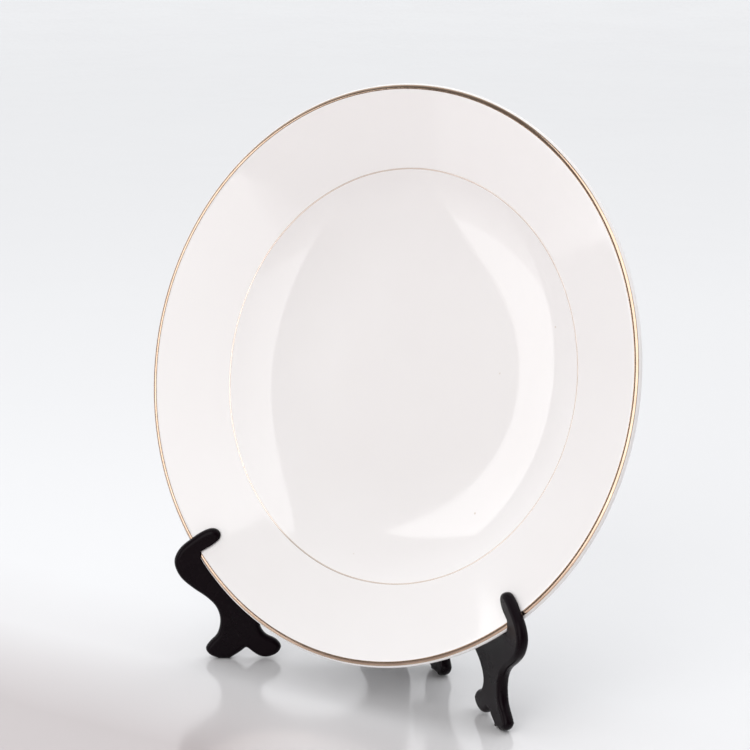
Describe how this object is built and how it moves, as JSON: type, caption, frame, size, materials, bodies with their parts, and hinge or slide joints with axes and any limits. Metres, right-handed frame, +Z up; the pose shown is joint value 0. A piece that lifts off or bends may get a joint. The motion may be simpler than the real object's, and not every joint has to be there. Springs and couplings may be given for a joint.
{
  "type": "dinner plate on folding plate stand",
  "caption": "Round porcelain dinner plate with a gold lip band and a gold verge line, leaning in a hinged folding plate stand.",
  "frame": {"origin": "on the table, at the middle of the object's box seen from above", "axes": "+Z up; the plate's face looks towards -Y and leans back towards +Y; +X to the right of the plate's face"},
  "size_m": [0.2566, 0.0772, 0.2662],
  "materials": {
    "porcelain": "clear glossy glaze over warm white china",
    "gold_lustre": "polished fired gold",
    "black_plastic": "moulded black plastic, satin gloss",
    "pin_steel": "plain steel"
  },
  "bodies": {
    "hinge_pins": {"lower_hinge_pin": "pin_steel", "upper_hinge_pin": "pin_steel"},
    "plate": {"plate_body": "porcelain", "gold_rim_band": "gold_lustre", "gold_verge_line": "gold_lustre"},
    "left_wing": {"left_stand_wing": "black_plastic"},
    "right_wing": {"right_stand_wing": "black_plastic"}
  },
  "joints": [
    {"name": "plate_lift", "type": "slide", "parent": "hinge_pins", "child": "plate", "axis": [0, 0, 1], "range_m": [0, 0.15]},
    {"name": "left_wing_fold", "type": "hinge", "parent": "hinge_pins", "child": "left_wing", "pos_m": [0, 0.02625, 0.06], "axis": [0, 0, 1], "range_deg": [0, 55.2]},
    {"name": "right_wing_fold", "type": "hinge", "parent": "hinge_pins", "child": "right_wing", "pos_m": [0, 0.02625, 0.06], "axis": [0, 0, -1], "range_deg": [0, 55.2]}
  ],
  "couplings": [
    {"joint": "left_wing_fold", "follows": "plate_lift", "rad_per_m": 6.42},
    {"joint": "right_wing_fold", "follows": "plate_lift", "rad_per_m": 6.42}
  ]
}
